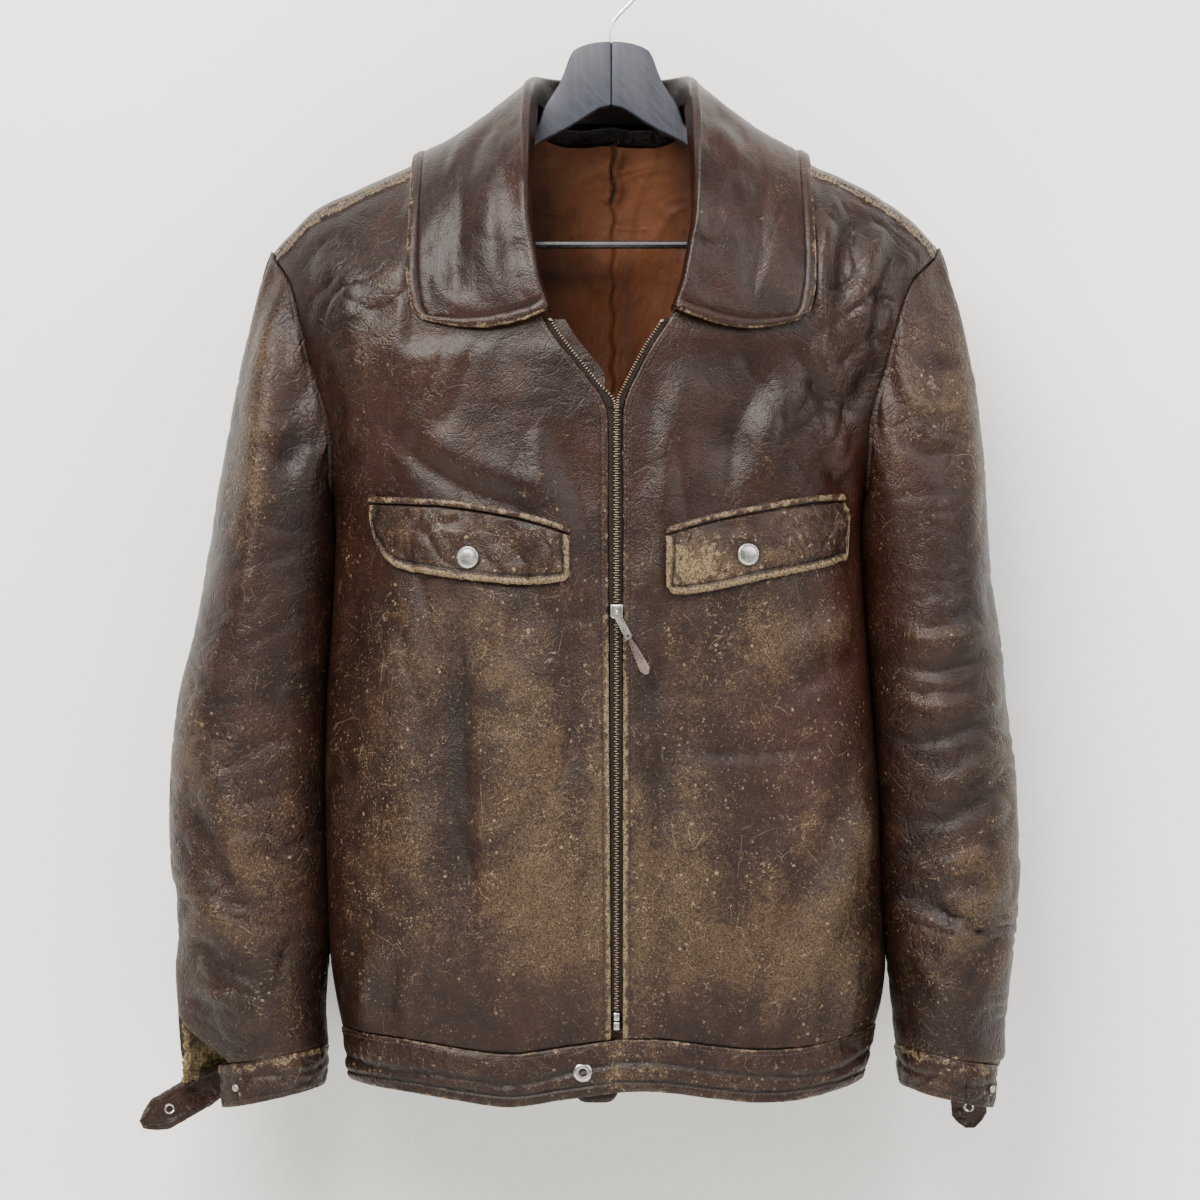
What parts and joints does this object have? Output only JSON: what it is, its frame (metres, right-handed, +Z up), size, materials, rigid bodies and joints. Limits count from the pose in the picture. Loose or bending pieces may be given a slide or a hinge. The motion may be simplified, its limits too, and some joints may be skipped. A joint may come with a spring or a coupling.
{
  "type": "worn leather coat on its hanger",
  "caption": "Short brown leather coat with a large rounded collar, zip front, slanted flap pockets and strapped cuffs, hanging on a dark wooden hanger.",
  "frame": {"origin": "inside top of the hanger hook's arc, where a rail carries it", "axes": "+Z up; the front faces -Y; +X is the wearer's left"},
  "size_m": [0.6316, 0.1942, 0.8515],
  "materials": {
    "leather": "worn dark brown hide, glossy on the collar and shoulders, rubbed tan in places",
    "worn_leather": "the same hide with its finish rubbed through to tan",
    "strip_leather": "thin grey-brown strip",
    "lining": "brown satin",
    "pile": "olive-brown pile",
    "zip_tape": "woven tape",
    "brass": "dulled teeth",
    "steel": "worn nickel plate",
    "hook_wire": "bright wire",
    "hanger_wood": "grey-black stain, satin",
    "bar": "gloss black"
  },
  "bodies": {
    "coat": {"back": "leather", "collar": "leather", "cuff_left": "leather", "cuff_right": "leather", "cuff_strap_left": "leather", "cuff_strap_right": "leather", "cuff_stud_left": "steel", "cuff_stud_right": "steel", "facing_left": "leather", "facing_right": "leather", "flap_snap_left": "steel", "flap_snap_right": "steel", "front_left": "leather", "front_right": "leather", "hanger_bar": "bar", "hanger_hook": "hook_wire", "hanger_wood_left": "hanger_wood", "hanger_wood_right": "hanger_wood", "lining_back": "lining", "pocket_flap_left": "worn_leather", "pocket_flap_right": "worn_leather", "pocket_welt_left": "leather", "pocket_welt_right": "leather", "sleeve_back_left": "leather", "sleeve_back_right": "leather", "sleeve_front_left": "leather", "sleeve_front_right": "leather", "strap_eyelet_left": "steel", "strap_eyelet_right": "steel", "underlap_tab": "leather", "vent_lining_right": "pile", "waistband_back": "leather", "waistband_left": "leather", "waistband_right": "leather", "waistband_snap": "steel", "zip_chain_lower": "brass", "zip_chain_upper": "brass", "zip_end": "steel", "zip_slider": "steel", "zip_tape_closed": "zip_tape", "zip_tape_left": "zip_tape", "zip_tape_right": "zip_tape", "zip_teeth_left": "brass", "zip_teeth_right": "brass"},
    "zip_pull": {"zip_pull": "steel", "zip_pull_strip": "strip_leather"}
  },
  "joints": [
    {"name": "zip_pull_hinge", "type": "hinge", "parent": "coat", "child": "zip_pull", "pos_m": [0.0036, -0.10572, -0.4755], "axis": [-0.891, 0, -0.454], "range_deg": [0, 150]}
  ]
}
